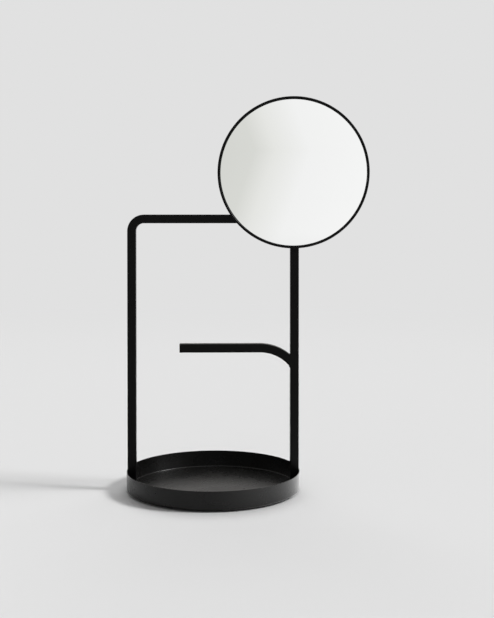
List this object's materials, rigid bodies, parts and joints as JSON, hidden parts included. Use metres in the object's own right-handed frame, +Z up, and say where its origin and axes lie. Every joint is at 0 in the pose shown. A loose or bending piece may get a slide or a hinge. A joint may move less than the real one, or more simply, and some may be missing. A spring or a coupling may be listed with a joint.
{
  "type": "vanity mirror stand with tray",
  "caption": "Round tilting and swivelling vanity mirror on a square-bar metal stand with a necklace arm and an open round tray.",
  "frame": {"origin": "on the table, at the centre of the pad's underside, which is the centre of the round tray", "axes": "+Z up, +Y away from the person who looks in the mirror, +X to the right seen from the front"},
  "size_m": [0.2776, 0.2, 0.4538],
  "materials": {
    "black_coat": "satin black powder coat on steel",
    "black_screw": "black oxide steel",
    "zinc_steel": "zinc-plated spring steel",
    "nylon": "black nylon",
    "pad_foam": "fine closed-cell foam",
    "tape_foam": "double-sided foam tape",
    "mirror": "silvered float glass"
  },
  "bodies": {
    "stand": {"tray": "black_coat", "base_pad": "pad_foam", "leg_washers": "zinc_steel", "leg_screws": "black_screw", "leg_rail": "black_coat", "mirror_post": "black_coat", "jewellery_arm": "black_coat", "swivel_bush": "nylon", "retaining_screw": "black_screw"},
    "swivel": {"swivel_head": "black_coat"},
    "mirror": {"tilt_bracket": "black_coat", "bracket_rivets": "black_screw", "friction_washers": "nylon", "tilt_bolt": "black_screw", "spring_washer": "zinc_steel", "tilt_nut": "black_screw", "mirror_hoop": "black_coat", "back_plate": "black_coat", "adhesive_pad": "tape_foam", "mirror_glass": "mirror"}
  },
  "joints": [
    {"name": "mirror_swivel", "type": "hinge", "parent": "stand", "child": "swivel", "pos_m": [0.09402, 0, 0.3665], "axis": [0, 0, 1], "range_deg": [-1, 45]},
    {"name": "mirror_tilt", "type": "hinge", "parent": "swivel", "child": "mirror", "pos_m": [0.09402, 0, 0.3665], "axis": [-0.9925, 0.1219, 0], "range_deg": [-4, 30]}
  ]
}
